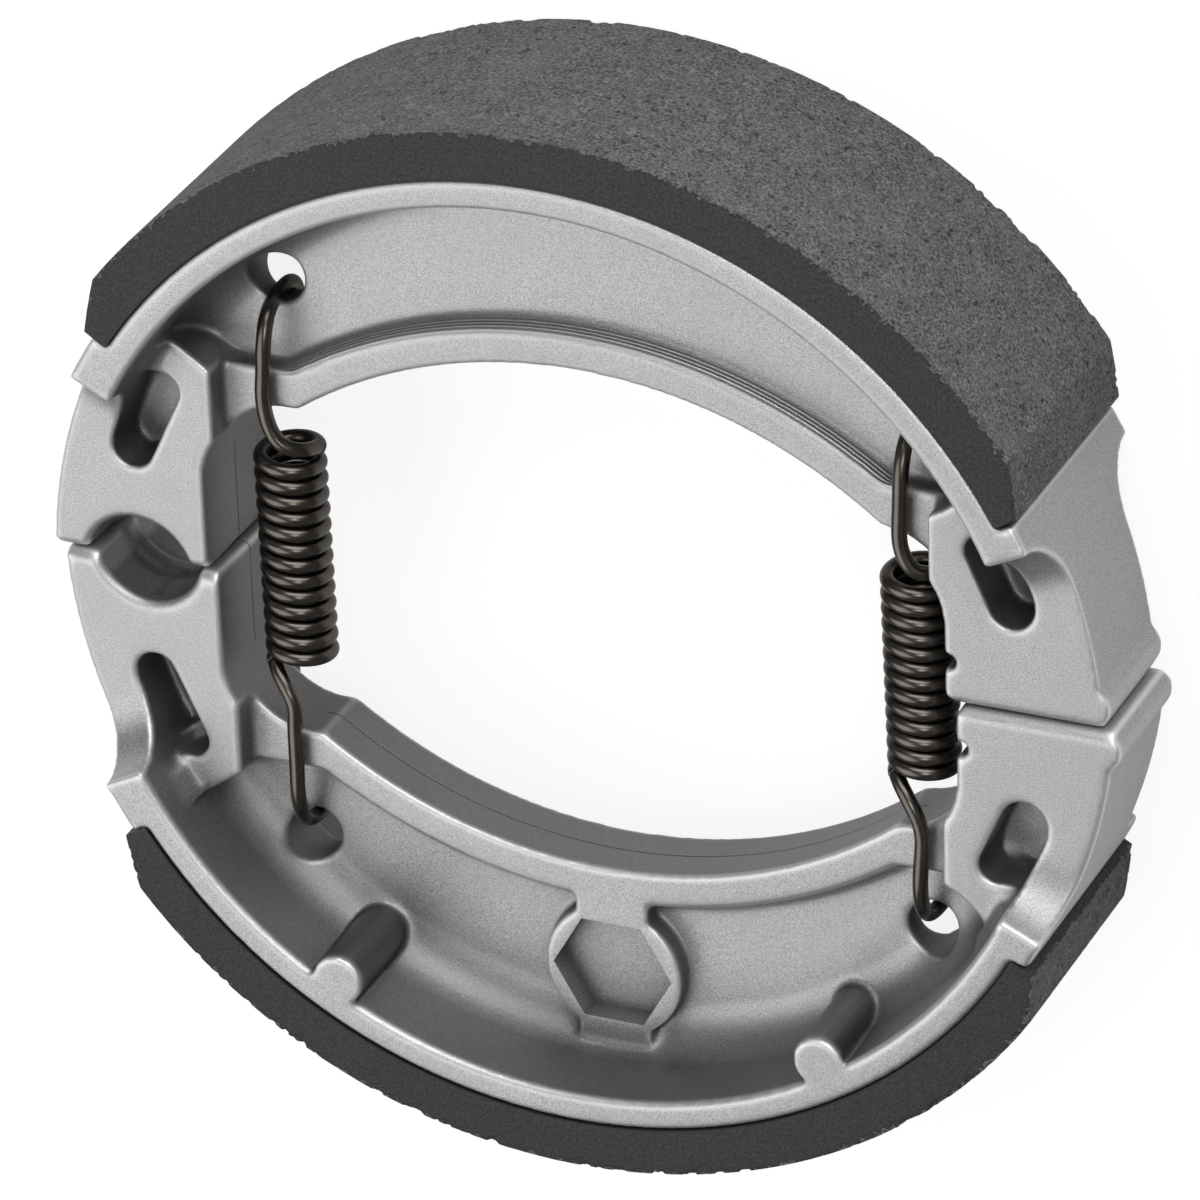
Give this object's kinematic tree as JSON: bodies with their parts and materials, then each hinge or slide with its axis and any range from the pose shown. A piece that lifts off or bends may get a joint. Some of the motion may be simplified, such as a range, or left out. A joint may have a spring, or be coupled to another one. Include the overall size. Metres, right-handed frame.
{
  "type": "drum brake shoe pair",
  "caption": "Pair of cast drum brake shoes with bonded friction linings, hooked together into a ring by return springs.",
  "frame": {"origin": "on the floor plane under the middle of the ring, where the closing plane of the shoes crosses it", "axes": "+Z along the brake drum's axis, +X towards the cam end, +Y towards the upper shoe"},
  "size_m": [0.1052, 0.1048, 0.0256],
  "materials": {
    "casting": "bead-blasted",
    "friction": "granular",
    "spring": "oiled"
  },
  "bodies": {
    "lower_half": {"lower_shoe": "casting", "lower_lining": "friction", "anchor_spring": "spring", "cam_spring": "spring"},
    "upper_half": {"upper_shoe": "casting", "upper_lining": "friction"}
  },
  "joints": [
    {"name": "shoe_spread", "type": "hinge", "parent": "lower_half", "child": "upper_half", "pos_m": [-0.0513, 0, 0.0128], "axis": [0, 0, 1], "range_deg": [0, 6], "stiffness_Nm_per_rad": 225, "springref_deg": -0.8, "deforming": ["anchor_spring", "cam_spring"]}
  ]
}
